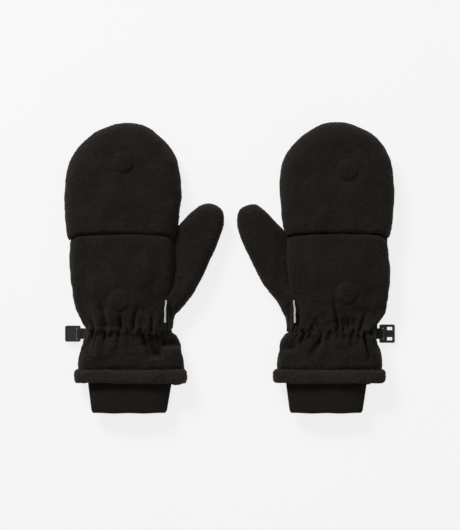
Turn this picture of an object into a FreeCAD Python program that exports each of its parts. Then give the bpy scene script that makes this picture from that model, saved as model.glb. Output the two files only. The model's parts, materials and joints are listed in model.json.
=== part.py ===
"""A pair of convertible flip-top fleece mittens, laid flat on the palm side, backs of the hands up.

Frame, in millimetres: +Z up from the surface the pair lies on, +Y towards the fingertips, X across
the pair. The origin is on the surface, midway between the mittens and at the middle of their length.
Everything is modelled once, for the right mitten (x > 0, thumb towards the origin), and mirrored in X
for the left one. Only the clip halves and the places of the magnets differ between the two.
"""

import FreeCAD
import Part

import math
import os

# Fabric and overall heights
PALM_Z = 0.0
BACK_Z = 26.0
SIDE_SEAM_Z = 11.0
SHELL = 3.0  # outer fleece
LINING = 1.2
LINING_GAP = 0.4  # between the outer fleece and the lining, round the sides
LINING_LOW, LINING_HIGH = 4.5, 20.5
TOP_ROUND, PALM_ROUND = 11.0, 9.0
EASE = 0.2  # room between sewn pieces that would press on each other

# Stations along Y
TIP_Y = 139.7
FOLD_Y = 34.2  # the hood folds back about this line
KNUCKLE_Y = 31.0
HAND_LINING_END_Y = 28.0
ELASTIC_Y = -62.0
WRIST_LINING_Y = -60.5
SKIRT_Y = -97.3
HEM_Y = -111.3
RIB_Y = -139.2

# The hood
FOLD_GAP = 0.3
PALM_FLAP_Y = 14.5  # the hood's palm edge overlaps the palm as far as here
PALM_FLAP = 2.0
FLAP_STEP_Z = 2.3  # the palm panel rises to here to make room for the flap
FLAP_ROOM = 0.4
STEP_OVERLAP = 3.5
HOOD_PALM_Y = 61.5  # nearer the wrist than this the palm side has to stretch over the fingers
HOOD_LINING_PALM_Y = 63.5

# The thumb
THUMB_Z = 19.0
THUMB_SEAM_Z = 9.5
THUMB_ROUND = 7.0
THUMB_WAY_Y = (-38.0, 20.0)  # the thumb goes through the hand's side wall here

# Finger stalls: name, width, and the station where it ends
STALLS = (("index", 22.0, 59.0), ("middle", 23.0, 60.5), ("ring", 22.5, 59.5), ("little", 20.5, 54.0))
STALL_START_X = 58.4
STALL_SPACING = 0.8
STALL_LOW, STALL_HIGH = 5.4, 18.7
STALL_WALL = 2.0
STALL_ROUND = 5.5
BINDING_LENGTH, BINDING_PROUD = 4.0, 0.35

# Magnets sewn in under the outer fleece
MAGNET_R, MAGNET_THICK = 9.0, 2.0
MAGNET_LOW = 20.7
HOOD_MAGNET = {"left": (101.3, 100.3), "right": (111.5, 92.4)}
HAND_MAGNET = {"left": (105.8, -31.2), "right": (110.9, -24.4)}

# Wrist, hem and rib cuff
ELASTIC_X = (70.0, 126.0)
ELASTIC_WIDTH, ELASTIC_THICK = 6.0, 0.9
HEM_X = (41.3, 149.2)
HEM_Z = 28.0
HEM_WALL = 3.8
HEM_ROUND = 13.0
RIB_LOW, RIB_HIGH = 4.3, 20.7
RIB_WALL = 1.8
RIB_ROUND = 7.5

# Woven label in the thumb-side seam
LABEL_X = (60.8, 62.2)
LABEL_Y = (-52.5, -31.0)
LABEL_Z = (THUMB_Z - SHELL, 25.0)

# Clip on its webbing strap at the outer side of the wrist
CLIP_Y = -63.8
CLIP_BAR = (145.5, 2.5)  # x and z of the bar that the strap goes round
CLIP_BAR_R = 1.1
CLIP_END_X = 159.1
CLIP_BODY_X = 148.3
CLIP_Z = (0.4, 4.6)
STRAP_WIDTH = 9.8
STRAP_THICK = 1.0
STRAP_CLEAR = 0.25
STRAP_ROOT_X, STRAP_ROOT_Z = 139.6, 12.0


# Small helpers

def vec(x, y, z=0.0):
    return FreeCAD.Vector(x, y, z)


def box(x, y, z):
    """A box from three (low, high) pairs."""
    return Part.makeBox(x[1] - x[0], y[1] - y[0], z[1] - z[0], vec(x[0], y[0], z[0]))


def slab(y, z=(-5.0, 60.0)):
    """Everything between two stations, and between two heights."""
    return box((-20.0, 220.0), y, z)


def trace(start, heading, points):
    """Edges from start through the points, each an arc or a line tangent to the one before it.

    heading is in degrees. Returns the edges, which lie in the XY plane."""
    edges = []
    here = vec(*start)
    along = vec(math.cos(math.radians(heading)), math.sin(math.radians(heading)))
    for point in points:
        there = vec(*point)
        chord = there - here
        half = chord.Length / 2
        chord.normalize()
        turn = math.atan2(along.x * chord.y - along.y * chord.x, along.dot(chord))
        if abs(turn) < 1e-4:
            edges.append(Part.makeLine(here, there))
        else:
            bulge = half * math.tan(turn / 2)
            middle = (here + there) * 0.5 + vec(chord.y, -chord.x) * bulge
            edges.append(Part.Arc(here, middle, there).toShape())
        along = chord * (2 * along.dot(chord)) - along
        here = there
    return edges


def closed(edges):
    """The face inside these edges, with a straight line from the last point to the first."""
    first, last = edges[0].Vertexes[0].Point, edges[-1].Vertexes[-1].Point
    if (first - last).Length > 1e-6:
        edges = edges + [Part.makeLine(last, first)]
    return Part.Face(Part.Wire(edges))


def inset(face, distance):
    """The face with its outline moved in by a distance."""
    return face.makeOffset2D(-distance) if distance else face


def pillow(face, low, high, top_round, low_round, open_ends=()):
    """A flat-topped solid over an outline, its long edges rounded. Straight edges along the stations
    in open_ends stay square, because a tube is cut open there."""
    solid = face.extrude(vec(0, 0, high - low))
    solid.translate(vec(0, 0, low))

    def rim(z):
        found = []
        for edge in solid.Edges:
            box_of = edge.BoundBox
            level = abs(box_of.ZMin - z) < 1e-6 and abs(box_of.ZMax - z) < 1e-6
            at_end = box_of.YLength < 1e-6 and any(abs(box_of.YMin - y) < 0.5 for y in open_ends)
            if level and not at_end:
                found.append(edge)
        return found

    solid = solid.makeFillet(top_round, rim(high))
    return solid.makeFillet(low_round, rim(low))


def layer(face, depth, low, high, ends=()):
    """The pillow of a garment outline moved in by a depth, with its rounds shrunk to match."""
    ends = [y + depth * side for y, side in ends]
    return pillow(inset(face, depth), low, high, TOP_ROUND - depth, PALM_ROUND - depth, ends)


# Outlines, seen from above

HAND_ENDS = ((40.0, -1), (-108.0, 1))  # outlines run past the open ends, and are cut back later
HOOD_ENDS = ((22.0, 1),)


def hand_outline():
    """Back of the hand and gauntlet skirt: straight knuckles, narrow wrist, flared skirt."""
    thumb_side = [(53.2, 14.0), (61.5, -26.3), (64.9, -43.0), (56.1, -61.3), (44.6, -90.0), (44.6, -108.0)]
    outer_side = [(146.0, -91.0), (141.6, -73.4), (139.0, -63.0), (140.9, -54.3), (153.6, 4.0), (152.0, 40.0)]
    edges = trace((53.2, 40.0), -90.0, thumb_side)
    edges.append(Part.makeLine(vec(44.6, -108.0), vec(146.0, -108.0)))
    return closed(edges + trace((146.0, -108.0), 90.0, outer_side))


def hood_outline():
    """The hood over the fingers: a round tip, a little narrower again at the fold."""
    shoulder = [(47.2, 79.0), (65.0, 124.1), (101.0, TIP_Y), (143.2, 118.9), (158.2, 75.0), (154.2, 34.5)]
    start = [Part.makeLine(vec(56.2, 22.0), vec(52.9, 34.5))]
    edges = start + trace((52.9, 34.5), 104.6, shoulder)
    edges.append(Part.makeLine(vec(154.2, 34.5), vec(151.6, 22.0)))
    return closed(edges)


def thumb_outline():
    """The thumb, from inside the hand at its root to its tip and back along its outer side."""
    points = [(44.0, 43.2), (28.2, 57.6), (18.0, 61.1), (6.3, 48.2), (9.2, 32.0), (24.2, -3.5), (45.5, -35.9),
              (55.0, -57.0)]
    edges = trace((64.0, 18.0), 129.5, points)
    edges.append(Part.makeLine(vec(55.0, -57.0), vec(72.0, -57.0)))
    edges.append(Part.makeLine(vec(72.0, -57.0), vec(72.0, 8.0)))
    return closed(edges)


HAND, HOOD, THUMB = hand_outline(), hood_outline(), thumb_outline()
HAND_OUTER = layer(HAND, 0.0, PALM_Z, BACK_Z, HAND_ENDS)
HAND_INNER = layer(HAND, SHELL, PALM_Z + SHELL, BACK_Z - SHELL, HAND_ENDS)
THUMB_INNER = pillow(inset(THUMB, SHELL), SHELL, THUMB_Z - SHELL, THUMB_ROUND - SHELL, THUMB_ROUND - SHELL)


# The hand and its skirt

def thumb_way():
    """The space through the hand's side wall that the thumb goes through."""
    lining = SHELL + LINING_GAP + LINING
    low, high = LINING_LOW + LINING, THUMB_Z - lining
    deeper = pillow(inset(THUMB, lining), low, high, 2.0, 2.0)
    return deeper.common(slab(THUMB_WAY_Y))


def hand_shell():
    return HAND_OUTER.cut(HAND_INNER).cut(thumb_way())


def back_panel():
    return hand_shell().common(slab((SKIRT_Y, KNUCKLE_Y), (SIDE_SEAM_Z, BACK_Z + 1)))


def palm_panel():
    """Flat on the surface, with a step up near the knuckles that the hood's palm flap lies under."""
    panel = hand_shell().common(slab((SKIRT_Y, KNUCKLE_Y), (PALM_Z - 1, SIDE_SEAM_Z)))
    panel = panel.cut(slab((PALM_FLAP_Y - FLAP_ROOM, KNUCKLE_Y + 1), (PALM_Z - 1, FLAP_STEP_Z)))
    step = HAND_OUTER.common(slab((PALM_FLAP_Y - STEP_OVERLAP, KNUCKLE_Y), (FLAP_STEP_Z, LINING_LOW - EASE)))
    return panel.fuse(step).removeSplitter()


def knuckle_fold():
    """The strip of back fleece between the knuckle seam and the line the hood folds about."""
    strip = HAND_OUTER.cut(HAND_INNER)
    return strip.common(slab((KNUCKLE_Y, FOLD_Y - FOLD_GAP), (SIDE_SEAM_Z, BACK_Z + 1)))


def hand_lining():
    depth = SHELL + LINING_GAP
    outer = layer(HAND, depth, LINING_LOW, LINING_HIGH, HAND_ENDS)
    inner = layer(HAND, depth + LINING, LINING_LOW + LINING, LINING_HIGH - LINING, HAND_ENDS)
    lining = outer.cut(inner).common(slab((WRIST_LINING_Y, HAND_LINING_END_Y)))
    return lining.cut(thumb_way())


def wrist_elastic():
    y = (ELASTIC_Y - ELASTIC_WIDTH / 2, ELASTIC_Y + ELASTIC_WIDTH / 2)
    high = BACK_Z - SHELL - EASE
    strip = box(ELASTIC_X, y, (high - ELASTIC_THICK, high))
    return strip.makeFillet(1.5, [e for e in strip.Edges if e.BoundBox.ZLength > 0.5])


def ring_section(x, z, wall, corner, y):
    """A tube of rounded-rectangle section between two stations."""
    def block(shrink):
        wide = (x[0] + shrink, x[1] - shrink)
        solid = box(wide, y, (z[0] + shrink, z[1] - shrink))
        return solid.makeFillet(corner - shrink, [e for e in solid.Edges if e.BoundBox.YLength > 0.5])
    return block(0.0).cut(block(wall))


def cuff_hem():
    """The thick turned hem at the skirt's mouth, with softly rounded outer edges."""
    hem = ring_section(HEM_X, (PALM_Z, HEM_Z), HEM_WALL, HEM_ROUND, (HEM_Y, SKIRT_Y))
    rims = []
    for edge in hem.Edges:
        b = edge.BoundBox
        outside = b.XMin < HEM_X[0] + HEM_ROUND or b.XMax > HEM_X[1] - HEM_ROUND
        inner = b.XMin > HEM_X[0] + HEM_WALL - 0.1 and b.XMax < HEM_X[1] - HEM_WALL + 0.1
        flat_inner = inner and HEM_WALL - 0.1 < b.ZMin and b.ZMax < HEM_Z - HEM_WALL + 0.1
        if b.YLength < 1e-6 and (outside or b.XLength > 50) and not flat_inner:
            rims.append(edge)
    return hem.makeFillet(1.8, rims)


def rib_cuff():
    """The knitted inner cuff, from the wrist seam out through the skirt's mouth, narrowing as it goes."""
    past = 6.0
    corners = [(61.5, WRIST_LINING_Y + past), (61.5, WRIST_LINING_Y), (54.8, HEM_Y), (58.4, RIB_Y),
               (58.9, RIB_Y - past), (127.2, RIB_Y - past), (127.7, RIB_Y), (131.4, HEM_Y),
               (133.0, WRIST_LINING_Y), (133.0, WRIST_LINING_Y + past)]
    face = Part.Face(Part.makePolygon([vec(*c) for c in corners + corners[:1]]))
    ends = (WRIST_LINING_Y + past, RIB_Y - past)
    outer = pillow(face, RIB_LOW, RIB_HIGH, RIB_ROUND, RIB_ROUND, ends)
    inner_ends = (ends[0] - RIB_WALL, ends[1] + RIB_WALL)
    inner = pillow(inset(face, RIB_WALL), RIB_LOW + RIB_WALL, RIB_HIGH - RIB_WALL,
                   RIB_ROUND - RIB_WALL, RIB_ROUND - RIB_WALL, inner_ends)
    return outer.cut(inner).common(slab((RIB_Y, WRIST_LINING_Y)))


# The thumb

def thumb_shell():
    outer = pillow(THUMB, PALM_Z, THUMB_Z, THUMB_ROUND, THUMB_ROUND)
    return outer.cut(THUMB_INNER).cut(HAND_OUTER).cut(label())


def thumb_front():
    return thumb_shell().common(slab((-80, 80), (PALM_Z - 1, THUMB_SEAM_Z)))


def thumb_back():
    return thumb_shell().common(slab((-80, 80), (THUMB_SEAM_Z, THUMB_Z + 1)))


def thumb_lining():
    depth = SHELL + LINING_GAP
    outer = pillow(inset(THUMB, depth), LINING_LOW, THUMB_Z - depth, 3.4, 3.4)
    inner = pillow(inset(THUMB, depth + LINING), LINING_LOW + LINING, THUMB_Z - depth - LINING, 2.0, 2.0)
    return outer.cut(inner).cut(HAND_OUTER)


# The half fingers inside the hood

def stall_places():
    """(name, low x, high x, end station) of each stall, from the thumb side outwards."""
    x = STALL_START_X
    for name, width, end in STALLS:
        yield name, x, x + width, end
        x += width + STALL_SPACING


def stall(x, end):
    return ring_section(x, (STALL_LOW, STALL_HIGH), STALL_WALL, STALL_ROUND, (KNUCKLE_Y, end))


def stall_bore(x):
    """The space inside a stall, long enough to cut its way through the yoke."""
    inside = (x[0] + STALL_WALL, x[1] - STALL_WALL)
    block = box(inside, (HAND_LINING_END_Y - 1, KNUCKLE_Y + 1), (STALL_LOW + STALL_WALL, STALL_HIGH - STALL_WALL))
    return block.makeFillet(STALL_ROUND - STALL_WALL, [e for e in block.Edges if e.BoundBox.YLength > 0.5])


def finger_yoke():
    """The wall across the knuckles that the four stalls are sewn to."""
    low = LINING_LOW - EASE
    yoke = HAND_INNER.common(slab((HAND_LINING_END_Y, KNUCKLE_Y), (low, BACK_Z - SHELL)))
    for _, x0, x1, _ in stall_places():
        yoke = yoke.cut(stall_bore((x0, x1)))
    return yoke


def stall_bindings():
    """A binding round the cut end of each stall."""
    rings = []
    for _, x0, x1, end in stall_places():
        proud = BINDING_PROUD
        x, z = (x0 - proud, x1 + proud), (STALL_LOW - proud, STALL_HIGH + proud)
        rings.append(ring_section(x, z, proud, STALL_ROUND + proud, (end - BINDING_LENGTH, end)))
    return Part.makeCompound(rings)


# The hood

def hood_shell():
    outer = layer(HOOD, 0.0, PALM_Z, BACK_Z, HOOD_ENDS)
    inner = layer(HOOD, SHELL, PALM_Z + SHELL, BACK_Z - SHELL, HOOD_ENDS)
    return outer.cut(inner)


def hood_back():
    return hood_shell().common(slab((FOLD_Y + FOLD_GAP, TIP_Y + 5), (SIDE_SEAM_Z, BACK_Z + 1)))


def hood_palm():
    return hood_shell().common(slab((HOOD_PALM_Y, TIP_Y + 5), (PALM_Z - 1, SIDE_SEAM_Z)))


def hood_overlap():
    """The palm side's stretchy mouth: it passes over the fingers as the hood opens, and its flap
    overlaps the palm when the hood is closed."""
    joint_y = KNUCKLE_Y + FLAP_ROOM
    mouth = hood_shell().common(slab((joint_y, HOOD_PALM_Y), (PALM_Z - 1, SIDE_SEAM_Z)))
    flap = HAND_OUTER.common(slab((PALM_FLAP_Y, joint_y + 2), (PALM_Z, PALM_Z + PALM_FLAP)))
    return mouth.fuse(flap.common(slab((PALM_FLAP_Y, joint_y)))).removeSplitter()


def hood_lining():
    depth = SHELL + LINING_GAP
    outer = layer(HOOD, depth, LINING_LOW, LINING_HIGH, HOOD_ENDS)
    inner = layer(HOOD, depth + LINING, LINING_LOW + LINING, LINING_HIGH - LINING, HOOD_ENDS)
    lining = outer.cut(inner).common(slab((FOLD_Y + 1.5, TIP_Y)))
    return lining.cut(slab((FOLD_Y, HOOD_LINING_PALM_Y), (0, SIDE_SEAM_Z)))


def magnet(place):
    return Part.makeCylinder(MAGNET_R, MAGNET_THICK, vec(place[0], place[1], MAGNET_LOW))


# Label, strap and clips

def label():
    """A folded woven label, its loop up."""
    tab = box(LABEL_X, LABEL_Y, LABEL_Z)
    top = [e for e in tab.Edges if e.BoundBox.ZMin > LABEL_Z[1] - 0.1 and e.BoundBox.YLength > 5]
    return tab.makeFillet(0.6, top)


def strap():
    """Webbing that comes down from the side seam and loops round the clip's bar."""
    bar = vec(CLIP_BAR[0], 0, CLIP_BAR[1])
    inner_r = CLIP_BAR_R + STRAP_CLEAR
    outer_r = inner_r + STRAP_THICK
    start = vec(0, CLIP_Y - STRAP_WIDTH / 2, 0)
    y_axis = vec(0, 1, 0)
    loop = Part.makeCylinder(outer_r, STRAP_WIDTH, bar + start, y_axis)
    y = (CLIP_Y - STRAP_WIDTH / 2, CLIP_Y + STRAP_WIDTH / 2)
    z_low, z_high = CLIP_BAR[1] - STRAP_THICK, CLIP_BAR[1] + STRAP_THICK
    run = box((STRAP_ROOT_X, CLIP_BAR[0]), y, (z_low, z_high))
    riser = box((STRAP_ROOT_X, STRAP_ROOT_X + 2 * STRAP_THICK), y, (z_low, STRAP_ROOT_Z))
    bend = run.fuse(riser).removeSplitter()
    corner = [e for e in bend.Edges if e.BoundBox.YLength > 5 and e.BoundBox.XMax < STRAP_ROOT_X + 0.1
              and e.BoundBox.ZMax < z_low + 0.1]
    bend = bend.makeFillet(1.8, corner)
    hole = Part.makeCylinder(inner_r, STRAP_WIDTH + 2, bar + start - y_axis, y_axis)
    return bend.fuse(loop).cut(hole).cut(HAND_OUTER).removeSplitter()


def clip_frame(height, z):
    """The outline both clips share: a bar for the strap, two arms, and a plate with round corners."""
    y = (CLIP_Y - height / 2, CLIP_Y + height / 2)
    plate = box((CLIP_BAR[0] - CLIP_BAR_R, CLIP_END_X), y, z)
    plate = plate.makeFillet(1.6, [e for e in plate.Edges if e.BoundBox.ZLength > 1])
    gap = box((CLIP_BAR[0] - 5, CLIP_BODY_X), (CLIP_Y - STRAP_WIDTH / 2 - 0.4, CLIP_Y + STRAP_WIDTH / 2 + 0.4),
              (z[0] - 5, z[1] + 5))
    bar = Part.makeCylinder(CLIP_BAR_R, height - 1.0, vec(CLIP_BAR[0], y[0] + 0.5, CLIP_BAR[1]), vec(0, 1, 0))
    return plate.cut(gap).fuse(bar).removeSplitter()


def clip_hook():
    """Left clip: a plain plate with a raised rim, and two hooks under it."""
    height = 15.4
    plate_low = CLIP_BAR[1] - 0.9
    plate = clip_frame(height, (plate_low, CLIP_Z[1]))
    recess = box((CLIP_BODY_X + 1.2, CLIP_END_X - 1.2), (CLIP_Y - height / 2 + 1.2, CLIP_Y + height / 2 - 1.2),
                 (CLIP_Z[1] - 0.4, CLIP_Z[1] + 1))
    plate = plate.cut(recess)
    for side in (-1, 1):
        middle = CLIP_Y + side * 4.8
        y = (middle - 1.2, middle + 1.2)
        stem = box((151.8, 153.4), y, (CLIP_Z[0], plate_low + 0.5))
        toe = box((151.8, 155.6), y, (CLIP_Z[0], CLIP_Z[0] + 0.9))
        plate = plate.fuse(stem).fuse(toe)
    return plate.removeSplitter()


def clip_eye():
    """Right clip: a plate with two windows for the hooks and a ribbed bridge between them."""
    height = 17.6
    plate = clip_frame(height, (CLIP_Z[0] + 0.4, CLIP_Z[1] - 0.4))
    for side in (-1, 1):
        middle = CLIP_Y + side * 4.95
        plate = plate.cut(box((151.6, 156.8), (middle - 1.55, middle + 1.55), (-1, 10)))
    for step in range(3):
        x = 152.2 + 1.7 * step
        plate = plate.fuse(box((x, x + 0.8), (CLIP_Y - 2.4, CLIP_Y + 2.4), (CLIP_Z[1] - 0.8, CLIP_Z[1])))
    return plate.removeSplitter()


# Building and writing

def mitten(side):
    """Every piece of one mitten, in the right mitten's place."""
    pieces = {
        "back_panel": back_panel(),
        "palm_panel": palm_panel(),
        "knuckle_fold": knuckle_fold(),
        "hand_lining": hand_lining(),
        "wrist_elastic": wrist_elastic(),
        "hand_magnet": magnet(HAND_MAGNET[side]),
        "cuff_hem": cuff_hem(),
        "rib_cuff": rib_cuff(),
        "thumb_front": thumb_front(),
        "thumb_back": thumb_back(),
        "thumb_lining": thumb_lining(),
        "finger_yoke": finger_yoke(),
        "stall_bindings": stall_bindings(),
        "woven_label": label(),
        "clip_strap": strap(),
        "hood_back": hood_back(),
        "hood_palm": hood_palm(),
        "hood_overlap": hood_overlap(),
        "hood_lining": hood_lining(),
        "hood_magnet": magnet(HOOD_MAGNET[side]),
        "clip": clip_hook() if side == "left" else clip_eye(),
    }
    for name, x0, x1, end in stall_places():
        pieces[name + "_stall"] = stall((x0, x1), end)
    return pieces


def main():
    os.makedirs("parts", exist_ok=True)
    for side in ("left", "right"):
        for name, shape in mitten(side).items():
            if side == "left":
                shape = shape.mirror(vec(0, 0, 0), vec(1, 0, 0))
            assert shape.isValid() and shape.Solids, f"{side}_{name} isn't a valid solid"
            shape.exportStep(f"parts/{side}_{name}.step")
            print(f"{side}_{name}: {len(shape.Solids)} solid(s), {sum(s.Volume for s in shape.Solids):.0f} mm3")


main()
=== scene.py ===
"""The looks of a pair of convertible flip-top fleece mittens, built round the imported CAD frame.

The frame is in metres, with +Z up, +Y to the fingertips and +X from the left mitten to the right one.
Shapes are worked out in millimetres as if for the right mitten, and the left one's have x turned round.
Each mitten has its own outlines, because no two are sewn quite the same.
"""

import json
import math
import random
from contextlib import contextmanager

import bmesh
import bpy
import numpy as np
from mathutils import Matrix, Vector


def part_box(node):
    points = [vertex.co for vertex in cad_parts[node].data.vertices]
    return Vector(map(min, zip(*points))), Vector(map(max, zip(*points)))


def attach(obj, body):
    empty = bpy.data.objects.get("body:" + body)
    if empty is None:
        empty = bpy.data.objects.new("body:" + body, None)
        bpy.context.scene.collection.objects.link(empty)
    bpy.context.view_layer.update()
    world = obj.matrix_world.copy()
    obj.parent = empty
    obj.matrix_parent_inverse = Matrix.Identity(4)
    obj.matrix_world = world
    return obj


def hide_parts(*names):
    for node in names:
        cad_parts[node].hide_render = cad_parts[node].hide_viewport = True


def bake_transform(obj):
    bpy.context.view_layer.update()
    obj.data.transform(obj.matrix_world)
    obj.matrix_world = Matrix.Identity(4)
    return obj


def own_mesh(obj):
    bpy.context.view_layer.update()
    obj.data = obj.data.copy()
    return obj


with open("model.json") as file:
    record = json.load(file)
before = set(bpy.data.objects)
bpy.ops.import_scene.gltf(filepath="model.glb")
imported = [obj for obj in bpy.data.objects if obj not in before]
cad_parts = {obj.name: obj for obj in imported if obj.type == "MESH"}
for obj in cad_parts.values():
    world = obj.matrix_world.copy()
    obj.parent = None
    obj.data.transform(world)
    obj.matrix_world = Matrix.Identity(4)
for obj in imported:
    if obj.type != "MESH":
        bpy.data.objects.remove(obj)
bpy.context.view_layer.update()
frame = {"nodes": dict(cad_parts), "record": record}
MM = 0.001
SIDES = {"left": -1.0, "right": 1.0}

# Heights and stations taken from the frame, in millimetres


def box_of(name):
    """The low and high corners of the right mitten's node, in millimetres."""
    return [np.array(c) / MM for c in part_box(f"right_{name}")]


def middle_and_half(name):
    low, high = box_of(name)
    return (low + high) / 2, (high - low) / 2


SEAM_Z, BACK_Z = (c[2] for c in box_of("back_panel"))
SKIRT_Y, KNUCKLE_Y = (c[1] for c in box_of("palm_panel"))
FLAP_Y = box_of("hood_overlap")[0][1]
THUMB_SEAM_Z, THUMB_Z = (c[2] for c in box_of("thumb_back"))
HEM_Y = box_of("cuff_hem")[0][1]
ELASTIC_Y = sum(c[1] for c in box_of("wrist_elastic")) / 2
STALLS = ("index", "middle", "ring", "little")
JOINTS = {j["name"]: j for j in frame["record"]["behaviour"]["joints"]}
_, FOLD_Y, FOLD_Z = (c / MM for c in JOINTS["right_hood_fold"]["pos_m"])

# The cloth: thicknesses, roundness and mesh cells, how it settles, and its nap as (size, strength)

FLEECE_THICK = 2.6
HOOD_THICK = 2.0
STRIP_THICK = 1.6
LINING_THICK = 0.9
LINING_GAP = 3.4
LINING_HEIGHTS = (4.6, SEAM_Z, 20.4)
ROUNDNESS = 2.3
CELL = 1.7
LINING_CELL = 3.6
SLACK = 0.17
CLOTH_FRAMES = 14
CLOTH_REACH = 3.0
EDGE_ROUNDS = 8
HAND_NAP = [(30.0, 2.2), (9.0, 0.8), (2.6, 0.7), (1.5, 0.5)]
HEM_NAP = [(14.0, 1.1), (4.0, 1.3), (1.6, 1.2)]
STRIP_NAP = [(2.6, 0.4)]
STALL_NAP = [(6.0, 0.5)]
LINING_NAP = [(12.0, 0.5)]
# The colour that the painted shade in the creases and pockets multiplies the fleece by
FOLD_SHADE = (0.5, 0.5, 0.5, 1.0)

# How deep the sewing draws the fleece in, in millimetres

SEAM_PINCH = 3.5
CREASE_FACTOR = 1.85
GATHERS = 16
GATHER_DEPTH = 3.4
GATHER_SHARP = 2.8
STITCH_DEPTH = 2.1
WAIST_DEPTH = 3.0
HEM_DEPTH = 2.4

# Outlines, given points joined by a smooth curve

HOOD_OUTLINE = {
    "left": [(57, 2), (55.5, 18), (52.6, 31), (48.4, 50), (46.9, 76), (51, 104), (65, 123.8), (84, 136.8),
             (104, 138.6), (126, 131.6), (145, 115.4), (156, 94), (159, 64), (156.3, 38), (152.5, 24),
             (151, 18), (150, 2)],
    "right": [(57, 2), (56, 18), (54.2, 31), (49.2, 56), (47.5, 82), (53, 107), (67.5, 125.2), (90, 137.6),
              (112, 138.6), (136, 128.4), (150.5, 111.4), (157, 86), (157, 60), (153.4, 36), (150.6, 25),
              (150.2, 18), (149, 2)],
}
HAND_OUTLINE = {
    "left": [(56, 54), (54, 42), (53.6, 31), (53.2, 6), (56.5, -18), (61.0, -34), (62.6, -46), (58.4, -56),
             (55, -62), (48.6, -73), (44.6, -89), (43.9, -104), (45, -118), (144.5, -118), (145.3, -104),
             (145.8, -90), (141.4, -72), (138.4, -62), (142, -52.5), (149, -36), (152.6, -14), (154, 8),
             (153.2, 30), (152, 42), (150, 54)],
    "right": [(57, 54), (55, 42), (54.6, 31), (54.2, 8), (57, -14), (61.5, -32), (63.6, -46), (59, -56),
              (55.2, -62), (49.6, -72), (45.2, -89), (45.0, -104), (46, -118), (144.6, -118), (145.6, -104),
              (146, -91), (143, -74), (140.8, -62), (144.5, -52), (150.2, -35), (152.8, -14), (152.6, 8),
              (151.4, 30), (150.5, 42), (149, 54)],
}
THUMB_OUTLINE = {
    "left": [(29, 58.8), (18, 61.0), (8, 55.4), (6.1, 43.5), (11.2, 25.5), (23.1, -2.3), (34.5, -23.3),
             (46.5, -39.2), (51.6, -43.6), (54.2, -51), (56.2, -59), (68, -59), (72, -30), (70, 6), (59, 28),
             (45.4, 45)],
    "right": [(29.6, 58.2), (20.3, 61.1), (10, 56.6), (6.5, 46), (8.9, 32.4), (24.3, -2.3), (32.7, -16.5),
              (46.5, -34.6), (52.2, -45), (54, -53), (56, -60), (68, -59), (72, -30), (70, 4), (59, 27),
              (45, 42)],
}

# The magnet discs, the seam's ends and how far each falls, the height of the palm under the hood's edge,
# where the hem hangs lower, how wide and by how much, and the rib cuff's two edges at its mouth, at the hem
# and at its inner end

DISC = {
    "left": {"hood": (101.3, 100.3), "hand": (105.8, -31.2)},
    "right": {"hood": (111.5, 92.4), "hand": (110.9, -24.4)},
}
DISC_R = 9.6
DISC_HIGH = {"hood": 1.5, "hand": 1.85}
SEAM_LINE = {"left": 31.9, "right": 32.4}
SEAM_ENDS = {"left": (53.3, 153.4, 2.6, 3.4), "right": (54.6, 151.6, 1.0, 3.2)}
SEAM_BOW = 2.3
STEP_Z = 2.3
CLIP_BAR = (145.5, 2.5)
CLIP_Y = -63.8
STRAP_WIDE = 10.3
STRAP_THICK = 1.1
HEM_ROLL = 3.4
HEM_TAIL = {"left": (52, 7.0, 3.2), "right": (131, 6.0, 3.0)}
RIB_EDGES = {"left": [(61.1, 56.3, 62.5), (132.4, 135.9, 132.0)],
             "right": [(57.7, 54.0, 62.5), (126.7, 131.0, 132.0)]}

# Creases at the wrist, each a row of (x, y, depth, half width), and the sunk pockets beside them, each given
# by its thumb-side x and outer x at the top and bottom, its top and bottom y, its depth and how much painted
# shade it gets

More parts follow.
